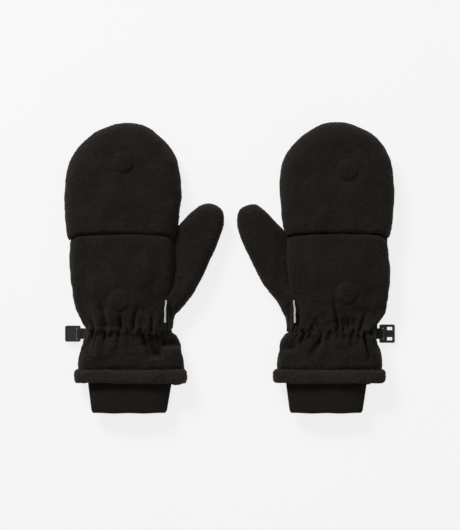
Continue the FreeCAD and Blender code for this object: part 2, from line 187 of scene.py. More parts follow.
CREASES = {
    "left": [
        [(104, -42, 0.4, 1.5), (103.6, -50, 2.4, 1.3), (103, -59, 3.0, 1.2)],
        [(88.3, -39, 0.4, 1.6), (90.6, -49, 2.7, 1.3), (91.5, -59, 3.1, 1.2)],
        [(72.6, -44, 0.3, 1.5), (73.6, -52, 2.3, 1.2), (74, -60, 2.9, 1.1)],
        [(123.5, -29, 0.3, 3.8), (121, -42, 2.2, 2.4), (117, -57, 3.0, 1.5)],
        [(134, -47, 0.4, 1.6), (129, -58, 2.9, 1.3)],
        [(85.6, -48, 0.3, 1.2), (84.5, -59, 2.5, 1.1)],
        [(118.3, -62, 2.6, 1.2), (118.8, -70, 1.9, 1.5), (120, -79, 0.2, 2.2)],
        [(106, -62, 2.4, 1.2), (106, -71, 1.8, 1.5), (106.3, -80, 0.2, 2.2)],
        [(85.5, -61, 2.6, 1.3), (82.5, -68, 3.2, 1.4), (79, -77, 3.4, 1.5), (76.2, -85, 1.8, 1.5)],
        [(130.5, -61, 1.8, 1.2), (134.5, -68, 1.2, 1.8), (139, -76, 0.2, 2.6)],
        [(112, -62, 1.5, 1.1), (112.4, -70, 0.2, 1.4)],
        [(98.6, -62, 1.6, 1.1), (98.2, -70, 0.2, 1.6)],
    ],
    "right": [
        [(98.4, -26, 0.2, 1.4), (99.2, -35, 2.0, 1.2), (101.5, -46, 2.6, 1.2), (103, -59, 2.2, 1.2)],
        [(130, -41, 0.2, 1.5), (127.3, -49, 2.1, 1.3), (124.2, -60, 2.5, 1.2)],
        [(148, -47, 0.4, 1.8), (140.5, -55, 2.8, 1.6), (134.5, -62, 2.8, 1.4)],
        [(81, -48, 0.2, 1.6), (83.5, -54, 1.7, 1.3), (86, -61, 2.2, 1.2)],
        [(112.5, -47, 0.1, 1.2), (112.6, -53, 1.4, 1.0), (112.8, -60, 1.8, 1.0)],
        [(107.6, -49, 0.1, 1.0), (107.8, -60, 1.7, 1.0)],
        [(118.4, -49, 0.1, 1.1), (117.9, -60, 1.7, 1.0)],
        [(71, -36, 0.1, 4.0), (77.5, -50, 1.0, 2.8), (79.5, -59, 1.3, 1.6)],
        [(128, -62, 2.6, 1.2), (130.3, -73, 2.7, 1.4), (133, -82, 2.0, 1.7), (135, -93, 0.4, 2.2)],
        [(88, -62, 2.0, 1.2), (84.6, -72, 2.0, 1.8), (80, -80, 1.7, 2.4), (75, -90, 0.2, 3.2)],
        [(116, -62, 2.2, 1.1), (116.2, -70, 1.7, 1.3), (116, -78, 0.2, 1.8)],
        [(71, -61, 2.1, 1.2), (68, -69, 1.8, 1.4), (66.4, -79, 0.2, 2.0)],
        [(139.5, -62, 2.0, 1.2), (143, -71, 1.3, 1.5), (145, -80, 0.2, 2.2)],
        [(94.8, -62, 1.6, 1.1), (93.5, -71, 0.2, 1.8)],
        [(103, -62, 1.5, 1.0), (103.4, -70, 0.2, 1.4)],
    ],
}
POCKETS = {"left": [((65.5, 65.0), (85.5, 76.5), -62.0, -84.0, 8.0, 1.0),
                    ((44.0, 40.0), (65.5, 64.5), -56.0, -74.0, 8.5, 0.95)],
           "right": [((46.0, 42.0), (67.0, 63.5), -61.0, -77.5, 6.5, 0.25)]}
THUMB_CREASES = [[(57, -30, 0.2, 1.6), (56.6, -40, 1.6, 1.3), (57, -58, 1.8, 1.2)],
                 [(52.2, -37, 0.2, 1.4), (53.6, -46, 1.3, 1.2), (55, -57, 1.4, 1.2)],
                 [(46.5, 2, 0.1, 4.5), (46.5, -12, 1.6, 3.4), (50.5, -27, 0.4, 2.8)]]


def curve_through(points, steps=8, loop=True):
    """Points along a Catmull-Rom curve through the given ones."""
    p = np.array(points, float)
    before, after = (p[-1], p[:2]) if loop else (2 * p[0] - p[1], 2 * p[-1] - p[-2])
    p = np.vstack([before, p, after])
    t = np.linspace(0, 1, steps, endpoint=False)[:, None]
    spans = []
    for a, b, c, d in zip(p[:-3], p[1:-2], p[2:-1], p[3:]):
        spans.append(0.5 * (2 * b + (c - a) * t + (2 * a - 5 * b + 4 * c - d) * t**2
                            + (3 * b - a - 3 * c + d) * t**3))
    if not loop:
        spans.append(p[-2:-1])
    return np.vstack(spans)


HAND, HOOD, THUMB = ({side: curve_through(points) for side, points in outlines.items()}
                     for outlines in (HAND_OUTLINE, HOOD_OUTLINE, THUMB_OUTLINE))


def edge_distance(outline, xy):
    """How far each point is inside the outline (negative outside), and the unit way straight inwards."""
    distance = np.empty(len(xy))
    way = np.empty((len(xy), 2))
    start, end = outline, np.roll(outline, -1, axis=0)
    run = end - start
    length2 = (run**2).sum(1)
    for first in range(0, len(xy), 4000):
        q = xy[first:first + 4000, None, :]
        t = np.clip(((q - start) * run).sum(2) / length2, 0, 1)
        gap = q - (start + t[..., None] * run)
        far2 = (gap**2).sum(2)
        nearest = far2.argmin(1)
        rows = np.arange(len(q))
        near = gap[rows, nearest]
        far = np.sqrt(far2[rows, nearest])
        above = (start[:, 1] > q[..., 1]) != (end[:, 1] > q[..., 1])
        with np.errstate(divide="ignore", invalid="ignore"):
            cross_x = start[:, 0] + (q[..., 1] - start[:, 1]) * run[:, 0] / run[:, 1]
        inside = (above & (q[..., 0] < cross_x)).sum(1) % 2 == 1
        sign = np.where(inside, 1.0, -1.0)
        distance[first:first + 4000] = far * sign
        way[first:first + 4000] = near * (sign / np.maximum(far, 1e-9))[:, None]
    return distance, way


def smooth_step(t):
    t = np.clip(t, 0, 1)
    return t * t * (3 - 2 * t)


# Mesh helpers

def add_object(name, data):
    obj = bpy.data.objects.new(name, data)
    bpy.context.scene.collection.objects.link(obj)
    return obj


def new_mesh(name, points_mm, faces, side):
    """A mesh object from millimetre points; the left mitten's have x turned round."""
    points = np.array(points_mm, float) * MM * (SIDES[side], 1, 1)
    faces = np.array(faces)[:, ::int(SIDES[side])]
    mesh = bpy.data.meshes.new(name)
    mesh.from_pydata(points.tolist(), [], faces.tolist())
    mesh.update()
    return add_object(name, mesh)


def read_points(obj, what):
    values = np.empty(len(obj.data.vertices) * 3)
    obj.data.vertices.foreach_get(what, values)
    return values.reshape(-1, 3)


def points_of(obj, side):
    """The mesh's points in millimetres, in the right mitten's sense."""
    return read_points(obj, "co") / MM * (SIDES[side], 1, 1)


def skin_of(obj, side, seam_z=SEAM_Z):
    """A skin's points, its normals, and which of the points are on its back."""
    p = points_of(obj, side)
    return p, read_points(obj, "normal") * (SIDES[side], 1, 1), p[:, 2] > seam_z


def set_points(obj, points_mm, side):
    co = points_mm * MM * (SIDES[side], 1, 1)
    obj.data.vertices.foreach_set("co", co.astype(np.float32).ravel())
    obj.data.update()


def bake_modifiers(obj):
    """Replace the mesh by what its modifiers make of it."""
    graph = bpy.context.evaluated_depsgraph_get()
    graph.update()
    made = bpy.data.meshes.new_from_object(obj.evaluated_get(graph))
    obj.modifiers.clear()
    obj.data = made


def assign(thing, **values):
    for key, value in values.items():
        setattr(thing, key, value)
    return thing


def modify(obj, kind, **values):
    return assign(obj.modifiers.new(kind.lower(), kind), **values)


@contextmanager
def edited(mesh):
    """The mesh opened for editing, and written back afterwards."""
    bm = bmesh.new()
    bm.from_mesh(mesh)
    yield bm
    bm.to_mesh(mesh)
    bm.free()


def cut_off(obj, y, way):
    """Drop what lies beyond y: towards the fingertips if way is 1, towards the cuff if it is -1."""
    with edited(obj.data) as bm:
        parts = bm.verts[:] + bm.edges[:] + bm.faces[:]
        bmesh.ops.bisect_plane(bm, geom=parts, plane_co=Vector((0, y, 0)) * MM, plane_no=(0, way, 0),
                               clear_outer=True)


def drop_faces(obj, side, gone):
    """Remove the faces whose centres gone(points) picks."""
    with edited(obj.data) as bm:
        centres = np.array([f.calc_center_median() for f in bm.faces]) / MM * (SIDES[side], 1, 1)
        doomed = [f for f, out in zip(bm.faces, gone(centres)) if out]
        bmesh.ops.delete(bm, geom=doomed, context="FACES")


def ease_edges(obj):
    """Smooth a skin's open edges, by moving each edge point towards its two neighbours."""
    with edited(obj.data) as bm:
        rim = {v for e in bm.edges if e.is_boundary for v in e.verts}
        beside = {v: [e.other_vert(v) for e in v.link_edges if e.is_boundary] for v in rim}
        for _ in range(EDGE_ROUNDS):
            pulls = {v: sum((o.co for o in beside[v]), Vector()) * (0.5 / len(beside[v])) for v in rim}
            for v, pull in pulls.items():
                v.co = v.co * 0.5 + pull


def pillow(name, side, outline, heights, rounds, cell):
    """A closed soft form over an outline: heights are its low, seam and high levels, rounds how far in
    from the outline the low and high faces become flat."""
    low, seam, high = heights
    round_low, round_high = rounds
    lo, hi = outline.min(0) - cell, outline.max(0) + cell
    xs, ys = (np.arange(a, b + cell, cell) for a, b in zip(lo, hi))
    ny = len(ys)
    grid = np.stack(np.meshgrid(xs, ys, indexing="ij"), -1).reshape(-1, 2)
    corners = np.arange(len(grid)).reshape(-1, ny)[:-1, :-1].ravel()
    a = corners[edge_distance(outline, grid[corners] + cell / 2)[0] > 0]
    quads = np.stack([a, a + ny, a + ny + 1, a + 1], 1)
    uses = np.bincount(quads.ravel(), minlength=len(grid))
    distance, way = edge_distance(outline, grid)
    rim = (uses > 0) & (uses < 4)
    grid[rim] -= way[rim] * distance[rim][:, None]
    inner = uses == 4
    depth = np.where(rim, 0.0, distance)

    def level(reach, flat):
        rest = np.clip(1 - depth / reach, 0, 1)
        return seam + (flat - seam) * (1 - rest**ROUNDNESS) ** (1 / ROUNDNESS)

    top = np.column_stack([grid, level(round_high, high)])
    bottom = np.column_stack([grid, level(round_low, low)])
    used = uses > 0
    index_top = np.cumsum(used) - 1
    index_low = np.where(inner, used.sum() + np.cumsum(inner) - 1, index_top)
    points = np.vstack([top[used], bottom[inner]])
    obj = new_mesh(name, points, np.vstack([index_top[quads], index_low[quads][:, ::-1]]), side)
    modify(obj, "REMESH", mode="VOXEL", voxel_size=cell * MM, use_smooth_shade=True)
    bake_modifiers(obj)
    settle(obj, side, outline, heights, rounds)
    return obj


def settle(obj, side, outline, heights, rounds):
    """Move the points of a remeshed pillow back onto its true rounds."""
    low, seam, high = heights
    p = points_of(obj, side)
    distance, way = edge_distance(outline, p[:, :2])
    for reach, flat, there in ((rounds[1], high, p[:, 2] >= seam), (rounds[0], low, p[:, 2] < seam)):
        across = np.clip(1 - distance / reach, 0, 1.5)
        up = np.clip((p[:, 2] - seam) / (flat - seam), 0, 1.5)
        size = np.maximum((across**ROUNDNESS + up**ROUNDNESS) ** (1 / ROUNDNESS), 1e-6)
        moved = reach * (1 - across / size) - distance
        moved = np.where(distance < reach, moved, 0.0)
        p[there, :2] += (way * moved[:, None])[there]
        p[there, 2] = (seam + (flat - seam) * up / size)[there]
    set_points(obj, p, side)


def drape(obj, side, slack, held, pressure):
    """How far each point of the skin moves when it settles as cloth with gravity off. slack is the share of
    SLACK by which it was cut larger, and held marks the points sewn down. Only a copy is simulated."""
    start = points_of(obj, side)
    copy = add_object(f"{obj.name}_cloth", obj.data.copy())
    for name, weights in (("held", held.astype(float)), ("taut", 1 - slack)):
        group = copy.vertex_groups.new(name=name)
        for i in np.flatnonzero(weights > 0):
            group.add([int(i)], float(weights[i]), "REPLACE")
    cloth = modify(copy, "CLOTH")
    assign(cloth.settings, quality=5, mass=0.05, tension_stiffness=25, compression_stiffness=25,
           shear_stiffness=8, bending_stiffness=2.0, air_damping=1.0, vertex_group_mass="held",
           vertex_group_shrink="taut", shrink_min=-SLACK, shrink_max=0.0,
           use_pressure=True, uniform_pressure_force=pressure)
    cloth.settings.effector_weights.gravity = 0.0
    cloth.collision_settings.use_collision = False
    assign(cloth.point_cache, frame_start=1, frame_end=CLOTH_FRAMES)
    for frame_number in range(1, CLOTH_FRAMES + 1):
        bpy.context.scene.frame_set(frame_number)
    bake_modifiers(copy)
    bpy.context.scene.frame_set(1)
    moved = points_of(copy, side) - start
    bpy.data.objects.remove(copy)
    far = np.linalg.norm(moved, axis=1)
    return moved * np.minimum(1, CLOTH_REACH / np.maximum(far, 1e-6))[:, None]


def sheet_mesh(name, side, x, y, z):
    """A mesh of four-cornered faces through a grid of points."""
    points = np.stack(np.broadcast_arrays(x, y, z), -1)
    at = np.arange(points[..., 0].size).reshape(points.shape[:2])
    faces = np.stack([at[:-1, :-1], at[1:, :-1], at[1:, 1:], at[:-1, 1:]], -1)
    return new_mesh(name, points.reshape(-1, 3), faces.reshape(-1, 4), side)


def tube(name, side, rings):
    """A mesh through rings of points, joined round, ring to ring, and the last to the first."""
    here = np.arange(rings[..., 0].size).reshape(rings.shape[:2])
    there = np.roll(here, -1, 0)
    faces = np.stack([here, np.roll(here, -1, 1), np.roll(there, -1, 1), there], -1)
    return new_mesh(name, rings.reshape(-1, 3), faces.reshape(-1, 4), side)


def sweep(middle_x, middle_z, path, normal, out, y):
    """Rings for a section swept round a path: how far out of it and at which y each point of it lies."""
    x = middle_x + path[:, :1] + normal[:, :1] * out
    z = middle_z + path[:, 1:] + normal[:, 1:] * out
    return np.stack(np.broadcast_arrays(x, y, z), -1)


def normals_beside(loop):
    """The unit normals of a closed loop of points, on the right of its way round."""
    ahead = np.roll(loop, -1, 0) - np.roll(loop, 1, 0)
    normal = np.column_stack([ahead[:, 1], -ahead[:, 0]])
    return normal / np.linalg.norm(normal, axis=1)[:, None]


def oval(half_width, half_height, count, power):
    """Evenly spaced points round a superellipse in the XZ plane, and their outward normals."""
    dense = np.linspace(0, 2 * math.pi, 4000, endpoint=False)
    c, s = np.cos(dense), np.sin(dense)
    x = half_width * np.sign(c) * np.abs(c) ** (2 / power)
    z = half_height * np.sign(s) * np.abs(s) ** (2 / power)
    step = np.hypot(np.diff(x, append=x[0]), np.diff(z, append=z[0]))
    along = np.concatenate([[0], np.cumsum(step)])
    want = np.linspace(0, along[-1], count, endpoint=False)
    pts = np.column_stack([np.interp(want, along, np.append(v, v[0])) for v in (x, z)])
    return pts, normals_beside(pts)


def ring(middle, half, power, y, count, out=0.0):
    """Points round a superellipse at the station y, moved out of it; middle and half are given as (x, z)."""
    path, normal = oval(*half, count, power)
    return np.column_stack([middle[0] + path[:, 0] + normal[:, 0] * out, np.full(count, y),
                            middle[1] + path[:, 1] + normal[:, 1] * out])


def nap(obj, layers):
    """Push the surface in and out along its normals: layers of (size in mm, strength in mm)."""
    for number, (size, strength) in enumerate(layers):
        texture = bpy.data.textures.new(f"{obj.name}_{number}", "CLOUDS")
        assign(texture, noise_scale=size * MM, noise_depth=2)
        modify(obj, "DISPLACE", texture=texture, strength=strength * MM, texture_coords="LOCAL")
    bake_modifiers(obj)


def fabric_wall(obj, thickness, offset=-1.0):
    """Give an open skin its thickness, inwards unless offset says otherwise, and subdivide it."""
    modify(obj, "SOLIDIFY", thickness=thickness * MM, offset=offset)
    modify(obj, "SUBSURF", levels=1)
    bake_modifiers(obj)


# Materials

def material(name):
    """A node material, with its tree, its surface shader and the object's coordinates in metres."""
    made = bpy.data.materials.new(name)
    made.use_nodes = True
    tree = made.node_tree
    return made, tree, tree.nodes["Principled BSDF"], node(tree, "ShaderNodeTexCoord").outputs["Object"]


def set_sockets(shader, values):
    for name, value in values.items():
        shader.inputs[name].default_value = value


def node(tree, kind, **values):
    made = tree.nodes.new(kind)
    for key, value in values.items():
        if key in made.inputs:
            made.inputs[key].default_value = value
        else:
            setattr(made, key, value)
    return made


def wave_node(tree, vector, direction, scale, distortion):
    made = node(tree, "ShaderNodeTexWave", bands_direction=direction, Scale=scale, Distortion=distortion)
    tree.links.new(vector, made.inputs["Vector"])
    return made.outputs["Fac"]


def noise_node(tree, vector, scale, detail=3.0, rough=0.6):
    made = node(tree, "ShaderNodeTexNoise", Scale=scale, Detail=detail, Roughness=rough)
    tree.links.new(vector, made.inputs["Vector"])
    return made.outputs["Fac"]


def ramp(tree, factor, stops, target):
    """A colour ramp through (position, colour) stops, joined to a socket."""
    made = node(tree, "ShaderNodeValToRGB")
    elements = made.color_ramp.elements
    while len(elements) < len(stops):
        elements.new(0.5)
    for element, (position, colour) in zip(elements, stops):
        element.position = position
        element.color = (*colour, 1.0)
    tree.links.new(factor, made.inputs["Fac"])
    tree.links.new(made.outputs["Color"], target)


def mix_numbers(tree, a, b, share):
    made = node(tree, "ShaderNodeMix", data_type="FLOAT")
    made.inputs[0].default_value = share
    tree.links.new(a, made.inputs[2])
    tree.links.new(b, made.inputs[3])
    return made.outputs[0]


def bump(tree, shader, height, strength, distance_mm):
    made = node(tree, "ShaderNodeBump", Strength=strength, Distance=distance_mm * MM)
    tree.links.new(height, made.inputs["Height"])
    tree.links.new(made.outputs["Normal"], shader.inputs["Normal"])


def shade(colour, factor):
    return tuple(c * factor for c in colour)


def fleece_material(name, colour, nub=1.0, sheen=0.06):
    """Brushed fleece: short curled pile in little clumps, with cloudy patches, and painted shade in the
    creases and pockets that the mesh marks.
    """
    made, tree, shader, spot = material(name)
    clumps = noise_node(tree, spot, 620.0, 4.0, 0.65)
    fibres = noise_node(tree, spot, 2100.0, 3.0, 0.7)
    cloudy = noise_node(tree, spot, 45.0, 3.0, 0.55)
    fine = mix_numbers(tree, clumps, fibres, 0.35)
    tone = mix_numbers(tree, fine, cloudy, 0.22)
    # Painted shade: the fleece colour is multiplied by FOLD_SHADE where the mesh's fold attribute marks
    # creases and sunk pockets
    darken = node(tree, "ShaderNodeMix", data_type="RGBA", blend_type="MULTIPLY")
    darken.inputs[7].default_value = FOLD_SHADE
    folds = node(tree, "ShaderNodeAttribute", attribute_name="painted_fold_shade")
    tree.links.new(folds.outputs["Fac"], darken.inputs[0])
    stops = [(0.33, shade(colour, 0.4)), (0.5, colour), (0.66, shade(colour, 1.9))]
    ramp(tree, tone, stops, darken.inputs[6])
    tree.links.new(darken.outputs[2], shader.inputs["Base Color"])
    set_sockets(shader, {"Roughness": 0.95, "Specular IOR Level": 0.15, "Sheen Weight": sheen,
                         "Sheen Roughness": 0.6, "Sheen Tint": (0.9, 0.84, 0.76, 1.0)})
    bump(tree, shader, fine, 0.9, 0.9 * nub)
    return made


def knit_material(name, colour):
    """Fine jersey: rows of small loops."""
    made, tree, shader, spot = material(name)
    loops = wave_node(tree, spot, "X", 420.0, 1.2)
    rows = wave_node(tree, spot, "Y", 330.0, 1.5)
    both = mix_numbers(tree, mix_numbers(tree, loops, rows, 0.4), noise_node(tree, spot, 900.0), 0.4)
    ramp(tree, both, [(0.2, shade(colour, 0.5)), (0.75, shade(colour, 1.35))], shader.inputs["Base Color"])
    set_sockets(shader, {"Roughness": 0.9, "Specular IOR Level": 0.2, "Sheen Weight": 0.05})
    bump(tree, shader, both, 0.7, 0.5)
    return made


def webbing_material(name, colour):
    """Flat woven tape: crossing ribs."""
    made, tree, shader, spot = material(name)
    weave = wave_node(tree, spot, "Y", 260.0, 0.4)
    cross = wave_node(tree, spot, "DIAGONAL", 330.0, 0.4)
    height = mix_numbers(tree, weave, cross, 0.5)
    ramp(tree, height, [(0.15, shade(colour, 0.5)), (0.8, shade(colour, 1.4))], shader.inputs["Base Color"])
    set_sockets(shader, {"Roughness": 0.7})
    bump(tree, shader, height, 0.6, 0.3)
    return made


def plastic_material(name, colour):
    """Moulded acetal: a fine spark-eroded grain and a soft shine."""
    made, tree, shader, spot = material(name)
    grain = noise_node(tree, spot, 4000.0, 2.0)
    patches = noise_node(tree, spot, 300.0, 2.0)
    ramp(tree, patches, [(0.3, shade(colour, 0.85)), (0.7, shade(colour, 1.1))], shader.inputs["Base Color"])
    ramp(tree, grain, [(0.2, (0.38,) * 3), (0.8, (0.55,) * 3)], shader.inputs["Roughness"])
    bump(tree, shader, grain, 0.25, 0.05)
    return made


def metal_material(name, colour):
    made, tree, shader, spot = material(name)
    marks = noise_node(tree, spot, 900.0, 4.0)
    ramp(tree, marks, [(0.3, shade(colour, 0.85)), (0.7, colour)], shader.inputs["Base Color"])
    set_sockets(shader, {"Metallic": 1.0})
    ramp(tree, marks, [(0.2, (0.2,) * 3), (0.8, (0.4,) * 3)], shader.inputs["Roughness"])
    return made


SLOTS = {
    "fleece": fleece_material("fleece", (0.0172, 0.0142, 0.0110)),
    "hem_fleece": fleece_material("hem_fleece", (0.0270, 0.0222, 0.0174), nub=1.3, sheen=0.09),
    "rib_knit": knit_material("rib_knit", (0.0195, 0.0153, 0.0118)),
    "knit": knit_material("stall_knit", (0.0120, 0.0108, 0.0095)),
    "lining": knit_material("lining_tricot", (0.0125, 0.0105, 0.0086)),
    "binding": knit_material("binding_knit", (0.0085, 0.0080, 0.0075)),
    "elastic": webbing_material("woven_elastic", (0.55, 0.53, 0.48)),
    "webbing": webbing_material("webbing", (0.030, 0.026, 0.022)),
    "label": webbing_material("label_tape", (0.85, 0.85, 0.84)),
    "clip_plastic": plastic_material("clip_acetal", (0.040, 0.036, 0.032)),
    "magnet": metal_material("nickel", (0.75, 0.73, 0.70)),
}


def paint(obj, made):
    obj.data.materials.clear()
    obj.data.materials.append(made)


def dress(obj, side, slot, nodes, body="hand"):
    """A piece's material, smooth shading, the body it rides on and the CAD nodes it stands for."""
    paint(obj, SLOTS[slot])
    obj.data.shade_smooth()
    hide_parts(*[f"{side}_{n}" for n in nodes])
    if body:
        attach(obj, f"{side}_{body}")


# Shape details on the fleece, all in millimetres

def disc_bump(p, side, part, on_top):
    """The round that a sewn-in magnet raises, with a shallow dip beside it."""
    x, y = DISC[side][part]
    high = DISC_HIGH[part]
    r = np.hypot(p[:, 0] - x, p[:, 1] - y)
    dome = 0.9 * (1 - np.minimum(r / DISC_R, 1) ** 2)
    raised = (high + dome) * (1 - smooth_step((r - DISC_R + 0.8) / 1.5))
    dip = -0.3 * high * np.exp(-((r - DISC_R - 1.3) / 1.6) ** 2)
    p[:, 2] += np.where(on_top, raised + dip, 0.0)


def seam_fall(side, x):
    """How far the knuckle seam falls towards the wrist: a bow whose ends turn."""
    thumb_end, outer_end, thumb_fall, outer_fall = SEAM_ENDS[side]
    middle = (thumb_end + outer_end) / 2
    bow = SEAM_BOW * np.clip(np.abs(x - middle) / (outer_end - middle), 0, 1) ** 2
    return (bow + thumb_fall * (1 - smooth_step((x - thumb_end) / 9.0))
            + outer_fall * (1 - smooth_step((outer_end - x) / 9.0)))


def pinch(away, normal):
    """How deep the skin is drawn in at a seam, by how far away it is: hardly on the sides."""
    facing_up = 0.03 + 0.97 * np.clip(normal[:, 2], 0, 1)
    return SEAM_PINCH * np.exp(-(np.maximum(away, 0) / 1.5) ** 1.2) * facing_up


def along_path(xy, path):
    """The distance of each point to a crease's line, and the crease's depth and half width beside it."""
    path = np.array(path, float)
    nearest = np.tile((1e9, 0.0, 1.0), (len(xy), 1))
    for a, b in zip(path[:-1], path[1:]):
        run = b[:2] - a[:2]
        t = np.clip(((xy - a[:2]) @ run) / (run @ run), 0, 1)
        gap = np.linalg.norm(xy - a[:2] - t[:, None] * run, axis=1)
        here = np.column_stack([gap, a[2:] + (b[2:] - a[2:]) * t[:, None]])
        nearest = np.where((gap < nearest[:, 0])[:, None], here, nearest)
    return nearest.T


def crease_depth(xy, paths):
    """A groove along each path, with the cloth bulging a little on both sides of it."""
    total = np.zeros(len(xy))
    for path in paths:
        gap, depth, width = along_path(xy, path)
        width = width * 1.15
        ridge = np.exp(-(((gap - 2.4 * width) / (1.7 * width)) ** 2))
        total += CREASE_FACTOR * depth * (np.exp(-((gap / width) ** 2)) - 0.5 * ridge)
    return total


def pocket_depth(p, side):
    """How far the gathered cloth and the layers under it sink: most at the lower edge, by the skirt."""
    total = np.zeros(len(p))
    for near_x, far_x, top, bottom, deep, _ in POCKETS[side]:
        t = (top - p[:, 1]) / (top - bottom)
        down = np.where(t < 1, np.clip(t, 0, 1) ** 1.1, 1 - smooth_step((t - 1) * (top - bottom) / 3.2))
        total += deep * across_pocket(p, t, near_x, far_x) * down
    return total * np.clip((p[:, 2] - SEAM_Z) / (BACK_Z - SEAM_Z), 0, 1)


def across_pocket(p, t, near_x, far_x):
    """1 between a pocket's two sides, going to 0 beyond them; t is the way down it, from 0 to 1."""
    near = np.interp(t, [0, 1], near_x)
    far = np.interp(t, [0, 1], far_x)
    return smooth_step((p[:, 0] - near + 1.0) / 2.2) * smooth_step((far - p[:, 0] + 1.0) / 2.2)


def paint_fold_shade(obj, side, xy, back):
    """Store painted shade for the creases and the sunk pockets on the mesh, for the fleece material to
    darken them.
    """
    # Painted shade: up to half strength along the creases, and each pocket's own share of it inside the
    # pockets
    fold_shade_amount = np.clip(crease_depth(xy, CREASES[side]) / 7.0, 0, 0.5)
    for near_x, far_x, top, bottom, _, dark in POCKETS[side]:
        t = (top - xy[:, 1]) / (top - bottom)
        down = smooth_step(t / 0.2) * (1 - smooth_step((t - 1) * (top - bottom) / 1.6 + 0.4))
        fold_shade_amount = np.maximum(fold_shade_amount, dark * across_pocket(xy, t, near_x, far_x) * down)
    layer = obj.data.attributes.new("painted_fold_shade", "FLOAT", "POINT")
    layer.data.foreach_set("value", np.where(back, fold_shade_amount, 0).astype(np.float32))


def uneven(side):
    """Where each gather ends on the way along the elastic, how strong it is and how far it reaches."""
    pick = random.Random({"left": 5, "right": 11}[side])
    steps = np.array([pick.uniform(0.65, 1.4) for _ in range(GATHERS)])
    ends = np.concatenate([[0], np.cumsum(steps)]) / steps.sum()
    strength = [pick.uniform(0.5, 1.25) for _ in range(GATHERS + 1)]
    reach = [pick.choice((5, 7, 9, 14)) * pick.uniform(0.8, 1.2) for _ in range(GATHERS + 1)]
    return ends, strength, reach


def gather(p, normal, side, back):
    """Draw the skin in at the wrist elastic: small gathers all round, and the long creases on the back."""
    left, right = edges_at(HAND[side], p[:, 1])
    across = (p[:, 0] - left) / (right - left)
    ends, strength, reach = uneven(side)
    numbers = np.arange(GATHERS + 1)
    phase = np.interp(across, ends, numbers)
    strong = np.interp(phase, numbers, strength)
    far = np.interp(phase, numbers, reach)
    wander = 1.3 * np.sin(2 * math.pi * phase) * np.interp(across, [0, 0.08, 0.92, 1], [0, 1, 1, 0])
    rise = p[:, 1] - ELASTIC_Y - wander
    shift = np.where(rise > 0, -0.25, 0.25)
    valley = (0.5 + 0.5 * np.cos(2 * math.pi * (phase + shift))) ** GATHER_SHARP
    fade = np.exp(-(np.abs(rise) / far) ** 1.3)
    flatness = 0.25 + 0.75 * np.abs(normal[:, 2])
    small = GATHER_DEPTH * strong * (valley - 0.25) * fade
    stitched = STITCH_DEPTH * np.exp(-(rise / 1.4) ** 2)
    waist = WAIST_DEPTH * np.exp(-((p[:, 1] - ELASTIC_Y) / 12.0) ** 2)
    depth = small + stitched + np.where(back, waist, 0.4 * waist)
    depth += np.where(back, crease_depth(p[:, :2], CREASES[side]), 0)
    hem_line = HEM_DEPTH * np.exp(-(np.maximum(p[:, 1] - SKIRT_Y - 0.6, 0) / 1.7) ** 1.3)
    drawn = p - normal * ((depth + np.where(back, hem_line, 0)) * flatness)[:, None]
    drawn[:, 2] -= pocket_depth(p, side)
    return drawn


def edges_at(outline, stations):
    """The outline's lowest and highest x at each station."""
    ys = np.linspace(outline[:, 1].min() + 1, outline[:, 1].max() - 1, 200)
    ends = np.roll(outline, -1, 0)
    low, high = [], []
    for y in ys:
        hit = (outline[:, 1] > y) != (ends[:, 1] > y)
        a, b = outline[hit], ends[hit]
        x = a[:, 0] + (y - a[:, 1]) / (b[:, 1] - a[:, 1]) * (b[:, 0] - a[:, 0])
        low.append(x.min())
        high.append(x.max())
    return np.interp(stations, ys, low), np.interp(stations, ys, high)


# The pieces

def hand_fleece(side):
    """Back of the hand, palm and gauntlet skirt in one skin, open at the knuckles and at the skirt."""
    line = SEAM_LINE[side]
    obj = pillow(f"{side}_hand_fleece", side, HAND[side], (0, SEAM_Z, BACK_Z), (12, 17), CELL)
    cut_off(obj, line - 0.1, 1)
    cut_off(obj, SKIRT_Y - 3.0, -1)
    p, n, back = skin_of(obj, side)
    y = p[:, 1]
    slack = 0.02 + 0.6 * np.exp(-((y - ELASTIC_Y) / 10.0) ** 2)
    sewn = (y > line - 1.6) | (y < SKIRT_Y + 1.0) | (np.abs(y - ELASTIC_Y) < 1.1)
    settled = drape(obj, side, slack, sewn, pressure=0.8)
    inwards = pinch(line - y, n)
    p = gather(p, n, side, back) + settled
    p -= n * np.where(back, inwards, 0)[:, None]
    disc_bump(p, side, "hand", back & (n[:, 2] > 0.5))
    step = STEP_Z * smooth_step((p[:, 1] - FLAP_Y + 4) / 4)
    p[:, 2] = np.maximum(p[:, 2], np.where(back, 0, step))
    p[:, 1] -= seam_fall(side, p[:, 0]) * smooth_step((p[:, 1] - line + 24) / 24)
    # Painted shade for the creases and pockets, worked out where the skin lay before it was drawn in
    paint_fold_shade(obj, side, points_of(obj, side)[:, :2], back)
    set_points(obj, p, side)
    finish(obj, side, "fleece", FLEECE_THICK, HAND_NAP, ["back_panel", "palm_panel"])
    clear_of_clip(obj, side)


def clear_of_clip(obj, side):
    """Hold the side of the wrist in where the clip swings up against it."""
    p = points_of(obj, side)
    from_clip = np.abs(p[:, 1] - CLIP_Y)
    limit = 140.9 + 0.9 * np.maximum(from_clip - 9.4, 0)
    near = (from_clip < 14) & (p[:, 0] > 130)
    p[:, 0] = np.where(near, np.minimum(p[:, 0], limit), p[:, 0])
    set_points(obj, p, side)


def keep_above_floor(obj, side):
    p = points_of(obj, side)
    p[:, 2] = np.maximum(p[:, 2], 0.0)
    set_points(obj, p, side)


def finish(obj, side, slot, thickness, layers, nodes, body="hand"):
    """Give an open skin its thickness and its nap, hold it above the floor, and dress it."""
    fabric_wall(obj, thickness)
    nap(obj, layers)
    keep_above_floor(obj, side)
    dress(obj, side, slot, nodes, body)


